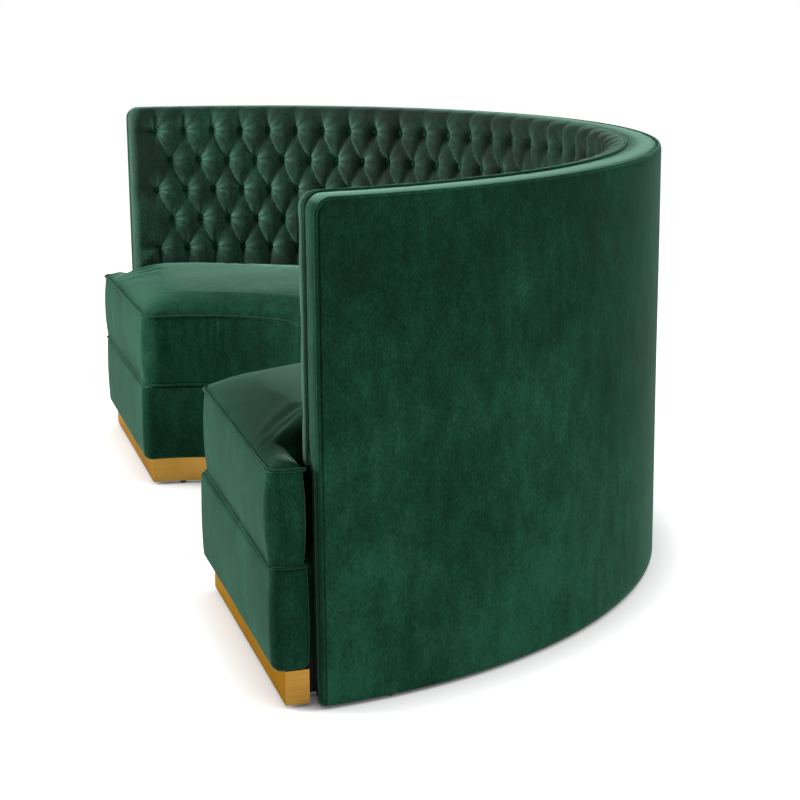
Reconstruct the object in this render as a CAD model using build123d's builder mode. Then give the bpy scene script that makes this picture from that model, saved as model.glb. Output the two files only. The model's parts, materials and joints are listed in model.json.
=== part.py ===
# Half-round upholstered restaurant booth: a tall curved back with a deep-buttoned inner face,
# a half-ring seat with a loose boxed cushion, and a brass-faced plinth.
# Millimetres. +Z is up and the open front faces -Y. The origin is on the floor under the middle of the booth.

import os
from math import asin, cos, degrees, radians, sin, sqrt

from build123d import *

os.makedirs("parts", exist_ok=True)

# Overall sizes
overall_height = 1000
wall_radius = 1185
wall_end = 66
seat_height = 480
glide_height = 8
fit_gap = 0.3

# Layers of the back, from the outside in
outer_cover_thickness = 8
outer_panel_thickness = 6
upper_frame_depth = 60
lower_frame_depth = 28
inner_panel_thickness = 5
lower_lining_thickness = 6
foam_thickness = 20
band_thickness = 10
band_crown_drop = 2
rail_thickness = 25
rail_segments = 24
post_width = 30
rib_thickness = 18
rib_count = 9
rib_end_margin = 5
dust_cover_thickness = 2
end_corner_radius = 30
piping_radius = 4.5
piping_sides = 4

# Deep buttoning
button_columns = 37
first_button_angle = 7.2
row_pitch = 89.5
row_count = 5
top_row_drop = 71.5
hill_height = 27
valley_height = 5.5
pleat_lift = 2
shoulder_share = 0.86
button_radius = 11
button_thickness = 6
button_sides = 6
tuft_end_angle = 4.0

# Seat
plinth_front_radius = 447
plinth_height = 70
plinth_board = 18
plinth_set_in = 32
plinth_ear_gap = 18
brass_thickness = 2
base_overhang = 24
base_side_overhang = 5
base_pad_thickness = 20
base_height = 206
base_roll = 8
base_corner = 16
seat_board = 18
deck_thickness = 12
platform_cloth_thickness = 2
seat_back_gap = 29
seat_rib_count = 9
seat_back_segments = 36
ear_gap = 6
cleat_count = 7
cleat_width = 40
cleat_height = 60

# Cushion
cushion_overhang = 6
cushion_side_overhang = 5
cushion_wall_clearance = 3
cushion_ear_gap = 2
cushion_bulge = 9
cushion_corner = 30
cushion_crown = 44
crown_spread = 180

# Feet
glide_radius = 14
glide_sides = 6
wall_glide_count = 9
plinth_glide_count = 7

# Radii of the back's layers
cover_inner = wall_radius - outer_cover_thickness
panel_inner = cover_inner - outer_panel_thickness
upper_frame_inner = panel_inner - upper_frame_depth
inner_panel_face = upper_frame_inner - inner_panel_thickness
foam_face = inner_panel_face - foam_thickness
lower_frame_inner = panel_inner - lower_frame_depth
lining_face = lower_frame_inner - lower_lining_thickness
cover_back = foam_face - fit_gap
hill_radius = cover_back - hill_height

# Levels of the back
frame_bottom = glide_height + dust_cover_thickness
band_top = overall_height - band_crown_drop
frame_top = band_top - band_thickness - fit_gap
frame_front = wall_end + band_thickness
post_back = frame_front + post_width
seat_rail_bottom = seat_height - rail_thickness
upper_rib_bottom = seat_rail_bottom + rail_thickness
upper_rib_top = frame_top - rail_thickness
cover_top = overall_height - 2 * piping_radius - 2 * fit_gap
panel_corner = end_corner_radius - piping_radius - fit_gap

# Levels and outlines of the seat
plinth_side = wall_radius - plinth_set_in
plinth_ear_back = wall_end - plinth_ear_gap
base_bottom = glide_height + plinth_height
base_top = base_bottom + base_height
base_front_radius = plinth_front_radius - brass_thickness - base_overhang
base_end = -base_overhang
base_side = plinth_side + brass_thickness + base_side_overhang
base_ear_back = wall_end - ear_gap
frame_front_radius = base_front_radius + base_pad_thickness
frame_back_radius = lining_face - seat_back_gap
frame_end = base_end + base_pad_thickness
frame_side = base_side - base_pad_thickness
frame_ear_back = base_ear_back - base_pad_thickness
deck_top = base_top - platform_cloth_thickness
deck_bottom = deck_top - deck_thickness
cushion_bottom = base_top + fit_gap
cushion_front_radius = base_front_radius - cushion_overhang
cushion_end = base_end - cushion_overhang
cushion_back_radius = hill_radius - cushion_wall_clearance
cushion_side = base_side + cushion_side_overhang
cushion_ear_back = wall_end - cushion_ear_gap

# The half circle's centre lies in front of the origin, which is under the middle of the whole booth
centre_y = -(wall_radius + cushion_end) / 2
floor = Plane((0, centre_y, 0))


def level(height):
    return floor.offset(height)


def polar(radius, angle, height):
    # a point at a radius from the half circle's centre, an angle from +X and a height
    turn = radians(angle)
    return (radius * cos(turn), centre_y + radius * sin(turn), height)


def reach(radius, front):
    # half width of a circle at the line y = front
    return sqrt(radius**2 - front**2)


def half_ring(inner, outer, front):
    # plan of a half ring between two radii, cut straight at y = front
    start_outer = degrees(asin(front / outer))
    start_inner = degrees(asin(front / inner))
    with BuildSketch() as ring:
        with BuildLine():
            CenterArc((0, 0), outer, start_outer, 90 - start_outer)
            CenterArc((0, 0), outer, 90, 90 - start_outer)
            CenterArc((0, 0), inner, start_inner, 90 - start_inner)
            CenterArc((0, 0), inner, 90, 90 - start_inner)
            for hand in (-1, 1):
                Line((hand * reach(inner, front), front), (hand * reach(outer, front), front))
        make_face()
    return ring.sketch


def seat_plan(inner, outer, front, side, back, corner=0):
    # plan of the seat: a half ring whose ends spread sideways in front of the back's end faces,
    # with its hidden back edge sawn in straight segments
    start_outer = degrees(asin(back / outer))
    start_inner = degrees(asin(front / inner))
    step = (180 - 2 * start_outer) / seat_back_segments
    turns = [radians(start_outer + index * step) for index in range(seat_back_segments + 1)]
    with BuildSketch() as plan:
        with BuildLine():
            CenterArc((0, 0), inner, start_inner, 90 - start_inner)
            CenterArc((0, 0), inner, 90, 90 - start_inner)
            Polyline(
                (reach(inner, front), front),
                (side, front),
                (side, back),
                *[(outer * cos(turn), outer * sin(turn)) for turn in turns],
                (-side, back),
                (-side, front),
                (-reach(inner, front), front),
            )
        make_face()
        if corner > 0:
            fillet(plan.vertices().group_by(Axis.Y)[0], radius=corner)
    return plan.sketch


def cushion_plan(inset):
    return seat_plan(
        cushion_front_radius + inset,
        cushion_back_radius - inset,
        cushion_end + inset,
        cushion_side - inset,
        cushion_ear_back - inset,
        cushion_corner - inset,
    )


def sawn_rail(inner, outer, front, bottom, top):
    # a curved frame rail sawn in straight segments that fit between two radii
    start = degrees(asin(front / inner))
    step = (180 - 2 * start) / rail_segments
    turns = [radians(start + index * step) for index in range(rail_segments + 1)]
    outer_corner = outer - fit_gap
    inner_corner = (inner + fit_gap) / cos(radians(step / 2))
    with BuildPart() as rail:
        with BuildSketch(level(bottom)):
            with BuildLine():
                Polyline(
                    *[(outer_corner * cos(turn), outer_corner * sin(turn)) for turn in turns],
                    *[(inner_corner * cos(turn), inner_corner * sin(turn)) for turn in reversed(turns)],
                    close=True,
                )
            make_face()
        extrude(amount=top - bottom)
    return rail


def ring_layer(inner, outer, front, bottom, top, corner=0):
    # an upright half-ring layer, with its two upper end corners rounded if a radius is given
    with BuildPart() as layer:
        with BuildSketch(level(bottom)):
            add(half_ring(inner, outer, front))
        extrude(amount=top - bottom)
        if corner > 0:
            fillet(layer.edges().filter_by(Axis.X).group_by(Axis.Z)[-1], radius=corner)
    return layer


def save(piece, name):
    piece.part.label = name
    export_step(piece.part, f"parts/{name}.step")


# Frame of the back
bottom_rail_top = frame_bottom + rail_thickness
save(
    sawn_rail(lower_frame_inner, panel_inner, frame_front, frame_bottom, bottom_rail_top),
    "back_bottom_rail",
)
save(
    sawn_rail(upper_frame_inner, panel_inner, post_back, seat_rail_bottom, upper_rib_bottom),
    "back_seat_rail",
)
save(
    sawn_rail(upper_frame_inner, panel_inner, post_back, upper_rib_top, frame_top),
    "back_top_rail",
)

with BuildPart() as end_posts:
    for inner, bottom, top in (
        (lower_frame_inner, bottom_rail_top, seat_rail_bottom),
        (upper_frame_inner, seat_rail_bottom, upper_rib_top),
    ):
        with BuildSketch(level(bottom)):
            add(half_ring(inner, panel_inner, frame_front))
            with Locations((0, post_back)):
                Rectangle(
                    2 * wall_radius,
                    wall_radius,
                    align=(Align.CENTER, Align.MIN),
                    mode=Mode.SUBTRACT,
                )
        extrude(amount=top - bottom)
save(end_posts, "back_end_posts")

post_angle = degrees(asin(post_back / upper_frame_inner)) + rib_end_margin
for name, inner, bottom, top in (
    ("back_lower_ribs", lower_frame_inner, bottom_rail_top, seat_rail_bottom),
    ("back_upper_ribs", upper_frame_inner, upper_rib_bottom, upper_rib_top),
):
    with BuildPart() as ribs:
        with BuildSketch(level(bottom)):
            with PolarLocations(
                (inner + panel_inner) / 2,
                rib_count,
                start_angle=post_angle,
                angular_range=180 - 2 * post_angle,
                endpoint=True,
            ):
                Rectangle(panel_inner - inner - 2 * fit_gap, rib_thickness)
        extrude(amount=top - bottom)
    save(ribs, name)

save(
    ring_layer(panel_inner, cover_inner, frame_front, frame_bottom, frame_top, panel_corner),
    "back_outer_panel",
)
save(
    ring_layer(inner_panel_face, upper_frame_inner, frame_front, seat_rail_bottom, frame_top, panel_corner),
    "back_inner_panel",
)
save(
    ring_layer(lining_face, lower_frame_inner, frame_front, frame_bottom, seat_rail_bottom),
    "back_lower_lining",
)
save(
    sawn_rail(lining_face, cover_inner, frame_front, glide_height, frame_bottom),
    "back_dust_cover",
)

# Covering of the back
save(
    ring_layer(cover_inner, wall_radius, frame_front, glide_height, cover_top, panel_corner),
    "outer_cover",
)
save(
    ring_layer(foam_face, inner_panel_face, frame_front, seat_rail_bottom, cover_top, panel_corner),
    "back_foam",
)

band_outer = wall_radius - 2 * piping_radius - 3 * fit_gap
band_inner = inner_panel_face + fit_gap
lower_band_top = seat_height - 2 * piping_radius
band_hollow = ring_layer(
    band_inner - rail_thickness,
    band_outer + rail_thickness,
    frame_front - fit_gap,
    0,
    band_top - band_thickness,
    panel_corner,
)
with BuildPart() as border_band:
    with BuildSketch(level(glide_height)):
        add(half_ring(band_inner, band_outer, wall_end))
    extrude(amount=band_top - glide_height)
    fillet(
        border_band.edges().filter_by(Axis.X).group_by(Axis.Z)[-1],
        radius=panel_corner + band_thickness,
    )
    add(band_hollow.part, mode=Mode.SUBTRACT)
    with BuildSketch(level(0)):
        Circle(lining_face)
    extrude(amount=lower_band_top, mode=Mode.SUBTRACT)
save(border_band, "border_band")


def edge_piping(radius, foot):
    # a cord along the back's top edge that turns down both ends to its foot
    height = overall_height - piping_radius - fit_gap
    turn = asin((wall_end + piping_radius + end_corner_radius) / radius)
    drop = end_corner_radius * (1 - cos(radians(45)))
    points = {}
    for hand in (-1, 1):
        back_along = Vector(hand * sin(turn), -cos(turn), 0)
        top_end = Vector(hand * radius * cos(turn), centre_y + radius * sin(turn), height)
        bend = top_end + back_along * (end_corner_radius * sin(radians(45))) - Vector(0, 0, drop)
        down = top_end + back_along * end_corner_radius - Vector(0, 0, end_corner_radius)
        points[hand] = (top_end, bend, down, Vector(down.X, down.Y, foot))
    right = points[1]
    left = points[-1]
    with BuildPart() as cord:
        with BuildLine() as path:
            Line(right[3], right[2])
            ThreePointArc(right[2], right[1], right[0])
            ThreePointArc(right[0], (0, centre_y + radius, height), left[0])
            ThreePointArc(left[0], left[1], left[2])
            Line(left[2], left[3])
        with BuildSketch(Plane(right[3], x_dir=(cos(turn), sin(turn), 0), z_dir=(0, 0, 1))):
            RegularPolygon(piping_radius, piping_sides)
        sweep(path=path.line)
    return cord


save(edge_piping(wall_radius - piping_radius - fit_gap, glide_height + fit_gap), "outer_piping")
save(edge_piping(inner_panel_face - piping_radius - 3 * fit_gap, lower_band_top), "inner_piping")

# Deep-buttoned cover: a grid of quarter pitches by half rows. Buttons stand on every other crossing,
# so the pleats run along the diagonals and each crossing between them is the top of a tuft.
half_pitch = (180 - 2 * first_button_angle) / (2 * (button_columns - 1))
top_row = overall_height - top_row_drop
bottom_row = top_row - (row_count - 1) * row_pitch
tuft_top = cover_top - fit_gap
tuft_bottom = seat_height - piping_radius
shoulder_height = hill_height * shoulder_share
pleat_height = valley_height + pleat_lift
last_column = 4 * (button_columns - 1)
last_row = 2 * (row_count - 1)
end_roll_angle = (tuft_end_angle + first_button_angle) / 2
angles = [tuft_end_angle, end_roll_angle]
angles += [first_button_angle + column * half_pitch / 2 for column in range(last_column + 1)]
angles += [180 - end_roll_angle, 180 - tuft_end_angle]
heights = [tuft_top, tuft_top - (tuft_top - top_row) * 0.35]
heights += [top_row - row * row_pitch / 2 for row in range(last_row + 1)]
heights += [tuft_bottom + (bottom_row - tuft_bottom) * 0.35, tuft_bottom]


def diamond_rise(column, row):
    # height over the cover's back at a quarter-pitch column and a half row, counted from the first button
    if column % 2 == 1 and row % 2 == 1:
        return pleat_height
    if column % 2 == 1 or row % 2 == 1:
        return shoulder_height
    return valley_height if (column // 2 + row // 2) % 2 == 0 else hill_height


def channel_rise(column, row):
    # height over the straight pleats above the top row and below the bottom row
    if column % 2 == 1:
        return shoulder_height
    return pleat_height if (column // 2 + row // 2) % 2 == 0 else hill_height


def cover_rise(place, line):
    column = place - 2
    row = line - 2
    if place in (0, len(angles) - 1) or line in (0, len(heights) - 1):
        return 0
    if column < 0 or column > last_column:
        on_pleat = 0 <= row <= last_row and row % 4 == 0
        return pleat_height if on_pleat else shoulder_height
    if row < 0:
        return channel_rise(column, 0)
    if row > last_row:
        return channel_rise(column, last_row)
    return diamond_rise(column, row)


grid = []
for line, height in enumerate(heights):
    grid.append(
        [polar(cover_back - cover_rise(place, line), angle, height) for place, angle in enumerate(angles)]
    )


def facet(*corners):
    return Face(Wire.make_polygon([Vector(*corner) for corner in corners], close=True))


last_line = len(heights) - 2
last_place = len(angles) - 2
facets = []
for line in range(last_line + 1):
    for place in range(last_place + 1):
        near_top, far_top = grid[line][place : place + 2]
        near_low, far_low = grid[line + 1][place : place + 2]
        falls = ((place - 2) // 2 + (line - 2) // 2) % 2 == 0
        if line == last_line and place in (0, last_place):
            falls = place == last_place
        if falls:
            facets.append(facet(near_top, far_top, far_low))
            facets.append(facet(near_top, far_low, near_low))
        else:
            facets.append(facet(near_top, far_top, near_low))
            facets.append(facet(far_top, far_low, near_low))
for place in range(last_place + 1):
    near_edge = [row[place] for row in grid]
    far_edge = [row[place + 1] for row in grid]
    if place > 0:
        near_edge = [near_edge[0], near_edge[-1]]
    if place < last_place:
        far_edge = [far_edge[0], far_edge[-1]]
    facets.append(facet(*near_edge, *reversed(far_edge)))
cover_shell = Shell(facets)
with BuildPart() as tufted_cover:
    add(Solid(cover_shell))
save(tufted_cover, "tufted_cover")

# Buttons: each bridges its valley with its rim just clear of the tufts on both sides
quarter_pitch = cover_back * radians(half_pitch / 2)
button_seat = valley_height + (shoulder_height - valley_height) * button_radius / quarter_pitch + fit_gap
button_places = []
for row in range(row_count):
    stagger = row % 2
    for column in range(button_columns - stagger):
        angle = first_button_angle + (2 * column + stagger) * half_pitch
        seat = polar(cover_back - button_seat, angle, top_row - row * row_pitch)
        inward = (-cos(radians(angle)), -sin(radians(angle)), 0)
        across = (-sin(radians(angle)), cos(radians(angle)), 0)
        button_places.append(Plane(seat, x_dir=across, z_dir=inward))
with BuildPart() as button:
    with BuildSketch() as button_rim:
        RegularPolygon(button_radius, button_sides)
    loft(sections=[button_rim.sketch.face(), Vertex(0, 0, button_thickness)], ruled=True)
with BuildPart() as tuft_buttons:
    with Locations(*button_places):
        add(button.part)
save(tuft_buttons, "tuft_buttons")

# Feet
with BuildPart() as wall_glides:
    with BuildSketch(level(0)):
        with PolarLocations(
            (lining_face + cover_inner) / 2,
            wall_glide_count,
            start_angle=post_angle,
            angular_range=180 - 2 * post_angle,
            endpoint=True,
        ):
            RegularPolygon(glide_radius, glide_sides)
    extrude(amount=glide_height)
save(wall_glides, "wall_glides")

plinth_glide_rows = (
    (plinth_front_radius + plinth_board / 2, plinth_glide_count),
    (frame_back_radius - plinth_board / 2, plinth_glide_count),
)
with BuildPart() as plinth_glides:
    with BuildSketch(level(0)):
        for radius, count in plinth_glide_rows:
            with PolarLocations(
                radius,
                count,
                start_angle=post_angle,
                angular_range=180 - 2 * post_angle,
                endpoint=True,
            ):
                RegularPolygon(plinth_board / 2, glide_sides)
    extrude(amount=glide_height)
save(plinth_glides, "plinth_glides")

# Plinth and its brass
with BuildPart() as plinth_ring:
    with BuildSketch(level(glide_height)):
        add(
            seat_plan(
                plinth_front_radius,
                frame_back_radius,
                brass_thickness,
                plinth_side,
                plinth_ear_back,
            )
        )
        add(
            seat_plan(
                plinth_front_radius + plinth_board,
                frame_back_radius - plinth_board,
                brass_thickness + plinth_board,
                plinth_side - plinth_board,
                plinth_ear_back - plinth_board / 2,
            ),
            mode=Mode.SUBTRACT,
        )
    extrude(amount=plinth_height)
save(plinth_ring, "plinth_ring")

brass_front = ring_layer(
    plinth_front_radius - brass_thickness,
    plinth_front_radius,
    0,
    glide_height,
    base_bottom,
)
save(brass_front, "brass_front")

for name, hand in (("brass_end_right", 1), ("brass_end_left", -1)):
    with BuildPart() as brass_end:
        with BuildSketch(level(glide_height)):
            with BuildLine():
                Polyline(
                    (hand * plinth_front_radius, 0),
                    (hand * (plinth_side + brass_thickness), 0),
                    (hand * (plinth_side + brass_thickness), plinth_ear_back),
                    (hand * plinth_side, plinth_ear_back),
                    (hand * plinth_side, brass_thickness),
                    (hand * plinth_front_radius, brass_thickness),
                    close=True,
                )
            make_face()
        extrude(amount=plinth_height)
    save(brass_end, name)

# Seat box
box_height = deck_bottom - base_bottom
panel_back = frame_end + seat_board
save(
    sawn_rail(frame_front_radius, frame_front_radius + seat_board, panel_back, base_bottom, deck_bottom),
    "seat_front_rail",
)
save(
    sawn_rail(frame_back_radius - seat_board, frame_back_radius, panel_back, base_bottom, deck_bottom),
    "seat_back_rail",
)

with BuildPart() as seat_end_panels:
    with BuildSketch(level(base_bottom)):
        for hand in (-1, 1):
            inner_end = frame_front_radius + fit_gap
            with Locations((hand * (inner_end + frame_side) / 2, frame_end + seat_board / 2)):
                Rectangle(frame_side - inner_end, seat_board)
    extrude(amount=box_height)
save(seat_end_panels, "seat_end_panels")

with BuildPart() as seat_side_blocks:
    with BuildSketch(level(base_bottom)):
        for hand in (-1, 1):
            with Locations((hand * (frame_side - seat_board / 2), (panel_back + frame_ear_back) / 2)):
                Rectangle(seat_board, frame_ear_back - panel_back)
    extrude(amount=box_height)
save(seat_side_blocks, "seat_side_blocks")

rib_start = frame_front_radius + seat_board + fit_gap
rib_end = frame_back_radius - seat_board - fit_gap
with BuildPart() as seat_ribs:
    with BuildSketch(level(base_bottom)):
        with PolarLocations(
            (rib_start + rib_end) / 2,
            seat_rib_count,
            start_angle=post_angle,
            angular_range=180 - 2 * post_angle,
            endpoint=True,
        ):
            Rectangle(rib_end - rib_start, seat_board)
    extrude(amount=box_height)
save(seat_ribs, "seat_ribs")

deck_plan = seat_plan(frame_front_radius, frame_back_radius, frame_end, frame_side, frame_ear_back)
with BuildPart() as seat_deck:
    with BuildSketch(level(deck_bottom)):
        add(deck_plan)
    extrude(amount=deck_thickness)
save(seat_deck, "seat_deck")

with BuildPart() as platform_cloth:
    with BuildSketch(level(deck_top)):
        add(deck_plan)
    extrude(amount=platform_cloth_thickness)
save(platform_cloth, "platform_cloth")

# Padded base cover: rolled in at its foot and at its top seam, and hollow where the frame stands
base_sections = (
    (base_bottom, base_roll),
    (base_bottom + 2 * base_roll, 0),
    (base_top - 2 * base_roll, 0),
    (base_top, base_roll),
)
with BuildPart() as base_cover:
    for height, inset in base_sections:
        with BuildSketch(level(height)):
            add(
                seat_plan(
                    base_front_radius + inset,
                    frame_back_radius,
                    base_end + inset,
                    base_side - inset,
                    base_ear_back - inset,
                    base_corner - inset,
                )
            )
    loft(ruled=True)
    with BuildSketch(level(base_bottom)):
        add(
            seat_plan(
                frame_front_radius,
                frame_back_radius + cleat_width / 4,
                frame_end,
                frame_side,
                frame_ear_back,
            )
        )
    extrude(amount=base_height, mode=Mode.SUBTRACT)
save(base_cover, "base_cover")

cleat_middle = (frame_back_radius + lining_face) / 2
with BuildPart() as joining_cleats:
    with BuildSketch(level(base_bottom)):
        with PolarLocations(
            cleat_middle,
            cleat_count,
            start_angle=2 * post_angle,
            angular_range=180 - 4 * post_angle,
            endpoint=True,
        ):
            Rectangle(seat_back_gap - 2 * fit_gap, cleat_width)
    extrude(amount=cleat_height)
save(joining_cleats, "joining_cleats")

# Loose cushion: boxed sides that bulge and draw in to a groove at each piping, under a crowned top
groove = 2 * piping_radius + 2 * fit_gap
cushion_middle = (cushion_bottom + seat_height) / 2
boxing_sections = (
    (cushion_bottom, cushion_bulge),
    (cushion_bottom + groove, cushion_bulge),
    (cushion_middle, 0),
    (seat_height - groove, cushion_bulge),
    (seat_height, cushion_bulge),
)
crown_sections = (
    (seat_height, cushion_bulge + cushion_corner / 4),
    (seat_height + cushion_crown * 0.7, crown_spread * 0.4),
    (seat_height + cushion_crown, crown_spread),
)
with BuildPart() as seat_cushion:
    for height, inset in boxing_sections:
        with BuildSketch(level(height)):
            add(cushion_plan(inset))
    loft(ruled=True)
    for height, inset in crown_sections:
        with BuildSketch(level(height)):
            add(half_ring(cushion_front_radius + inset, cushion_back_radius - inset, cushion_end + inset))
    loft(ruled=True)
save(seat_cushion, "seat_cushion")

cord_inset = cushion_bulge - piping_radius - fit_gap
for name, height in (
    ("cushion_top_piping", seat_height - groove / 2),
    ("cushion_bottom_piping", cushion_bottom + groove / 2),
):
    with BuildSketch(level(height)) as cord_line:
        add(cushion_plan(cord_inset))
    shown = []
    for edge in cord_line.sketch.edges():
        middle = edge @ 0.5 - Vector(0, centre_y, height)
        on_outer_arc = middle.length > (cushion_front_radius + cushion_back_radius) / 2 and middle.Y > wall_end
        on_ear_back = abs(middle.Y - cushion_ear_back + cord_inset) < fit_gap
        if not on_outer_arc and not on_ear_back:
            shown.append(edge)
    start_x = cushion_side - cord_inset
    start = Vector(start_x, centre_y + cushion_ear_back - cord_inset, height)
    with BuildPart() as cord:
        with BuildLine() as path:
            add(shown)
        with BuildSketch(Plane(start, z_dir=(0, 1, 0))):
            RegularPolygon(piping_radius, piping_sides)
        sweep(path=path.wires()[0])
    save(cord, name)
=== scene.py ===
import json
import math

import bmesh
import bpy
import numpy as np
from mathutils import Matrix, Vector


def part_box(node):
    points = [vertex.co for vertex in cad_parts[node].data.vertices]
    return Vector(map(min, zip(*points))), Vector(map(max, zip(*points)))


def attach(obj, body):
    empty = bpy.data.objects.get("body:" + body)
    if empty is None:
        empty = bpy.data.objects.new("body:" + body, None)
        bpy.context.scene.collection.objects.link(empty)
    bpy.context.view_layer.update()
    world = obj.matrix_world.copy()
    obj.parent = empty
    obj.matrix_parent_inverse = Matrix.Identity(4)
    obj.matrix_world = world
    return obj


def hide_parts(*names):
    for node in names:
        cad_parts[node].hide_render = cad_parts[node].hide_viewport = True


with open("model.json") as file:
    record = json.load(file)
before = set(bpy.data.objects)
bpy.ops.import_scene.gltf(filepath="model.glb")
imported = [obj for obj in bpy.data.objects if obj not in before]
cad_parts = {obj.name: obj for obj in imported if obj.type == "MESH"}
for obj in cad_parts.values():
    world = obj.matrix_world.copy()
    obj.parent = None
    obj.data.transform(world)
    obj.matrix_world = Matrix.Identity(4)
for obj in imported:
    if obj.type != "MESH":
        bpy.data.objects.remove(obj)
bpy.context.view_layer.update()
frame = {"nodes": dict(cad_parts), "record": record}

scene = bpy.context.scene
rightAngle = math.pi / 2

# The booth's main sizes in metres, the same as the solids have
booth = {
    "wallRadius": 1.185,
    "height": 1.000,
    "glide": 0.008,  # gap under the back and the plinth
}
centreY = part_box("outer_cover")[1].y - booth["wallRadius"]  # the half circle's centre


# Small makers

def addObject(name, data):
    piece = bpy.data.objects.new(name, data)
    scene.collection.objects.link(piece)
    return piece


def placeMesh(name, points, faces, material, smooth=True):
    mesh = bpy.data.meshes.new(name)
    mesh.from_pydata([tuple(p) for p in np.asarray(points, float)], [], [tuple(f) for f in faces])
    mesh.update()
    mesh.materials.append(material)
    mesh.polygons.foreach_set("use_smooth", [smooth] * len(mesh.polygons))
    return addObject(name, mesh)


def faceOutwards(piece):
    shell = bmesh.new()
    shell.from_mesh(piece.data)
    bmesh.ops.recalc_face_normals(shell, faces=shell.faces)
    shell.to_mesh(piece.data)
    shell.free()
    piece.data.update()


def gridFaces(index, following):
    return np.stack([index[:-1], following[:-1], following[1:], index[1:]], -1).reshape(-1, 4).tolist()


def sweptPiece(name, columns, material):
    # a closed section carried along an open line, with both ends capped
    grid = np.stack(columns, 1)
    index = np.arange(grid.shape[0] * grid.shape[1]).reshape(grid.shape[:2])
    faces = gridFaces(index, np.roll(index, -1, axis=1))
    piece = placeMesh(name, grid.reshape(-1, 3), [*faces, index[0], index[-1]], material)
    faceOutwards(piece)
    return piece


def settle(piece):
    # what the modifiers make, as a plain mesh
    graph = bpy.context.evaluated_depsgraph_get()
    made = bpy.data.meshes.new_from_object(piece.evaluated_get(graph))
    piece.modifiers.clear()
    made.name = piece.name
    piece.data = made
    return piece


def smoothStep(low, high, value):
    share = np.clip((value - low) / (high - low), 0.0, 1.0)
    return share * share * (3 - 2 * share)


def ripple(x, y, scale, seed):
    # slow waves with no repeat that shows, from a few sines with fixed phases
    draw = np.random.default_rng(seed)
    total = np.zeros_like(np.asarray(x, float))
    for octave in range(5):
        turn, phase = draw.uniform(0, 2 * math.pi, 2)
        pace = scale * (1 + 0.6 * octave)
        total += np.sin((x * math.cos(turn) + y * math.sin(turn)) * pace + phase) / (1 + 0.5 * octave)
    return total / 2.5


def gridPoints(radius, angle, height):
    z = np.broadcast_to(height, np.shape(radius))
    return np.stack([radius * np.cos(angle), centreY + radius * np.sin(angle), z], -1)


# Materials

def newMaterial(name):
    material = bpy.data.materials.new(name)
    material.use_nodes = True
    tree = material.node_tree
    place = tree.nodes.new("ShaderNodeTexCoord").outputs["Object"]
    return material, tree, tree.nodes["Principled BSDF"], place


def noiseNode(tree, vector, scale, detail=4.0, roughness=0.55):
    noise = tree.nodes.new("ShaderNodeTexNoise")
    noise.inputs["Scale"].default_value = scale
    noise.inputs["Detail"].default_value = detail
    noise.inputs["Roughness"].default_value = roughness
    tree.links.new(vector, noise.inputs["Vector"])
    return noise.outputs["Fac"]


def stretched(tree, vector, scale):
    mapping = tree.nodes.new("ShaderNodeMapping")
    mapping.inputs["Scale"].default_value = scale
    tree.links.new(vector, mapping.inputs["Vector"])
    return mapping.outputs["Vector"]


def rampNode(tree, factor, stops):
    ramp = tree.nodes.new("ShaderNodeValToRGB")
    elements = ramp.color_ramp.elements
    for index, (place, colour) in enumerate(stops):
        stop = elements[index] if index < 2 else elements.new(place)
        stop.position = place
        stop.color = (*colour, 1)
    tree.links.new(factor, ramp.inputs["Fac"])
    return ramp.outputs["Color"]


def mathNode(tree, operation, first, second):
    node = tree.nodes.new("ShaderNodeMath")
    node.operation = operation
    for socket, value in zip(node.inputs, (first, second)):
        if isinstance(value, (int, float)):
            socket.default_value = value
        else:
            tree.links.new(value, socket)
    return node.outputs["Value"]


def plus(tree, first, second):
    return mathNode(tree, "ADD", first, second)


def minus(tree, first, second):
    return mathNode(tree, "SUBTRACT", first, second)


def times(tree, first, second):
    return mathNode(tree, "MULTIPLY", first, second)


def limited(tree, value):
    return mathNode(tree, "MINIMUM", mathNode(tree, "MAXIMUM", value, 0.0), 1.0)


def weighted(tree, first, share, second):
    return plus(tree, times(tree, first, share), times(tree, second, 1 - share))


def risesFrom(tree, value, start, pace):
    # 0 up to a start, then up to 1 at a pace
    return limited(tree, times(tree, minus(tree, value, start), pace))


def attributeNode(tree, name):
    node = tree.nodes.new("ShaderNodeAttribute")
    node.attribute_name = name
    return node.outputs["Fac"]


def overlay(tree, factor, under, colour):
    node = tree.nodes.new("ShaderNodeMix")
    node.data_type = "RGBA"
    tree.links.new(factor, node.inputs[0])
    tree.links.new(under, node.inputs[6])
    node.inputs[7].default_value = (*colour, 1)
    return node.outputs[2]


def bumpNode(tree, shader, height, strength, distance):
    bump = tree.nodes.new("ShaderNodeBump")
    bump.inputs["Strength"].default_value = strength
    bump.inputs["Distance"].default_value = distance
    tree.links.new(height, bump.inputs["Height"])
    tree.links.new(bump.outputs["Normal"], shader.inputs["Normal"])


def surface(tree, shader, colour, roughness):
    tree.links.new(colour, shader.inputs["Base Color"])
    shader.inputs["Roughness"].default_value = roughness


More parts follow.
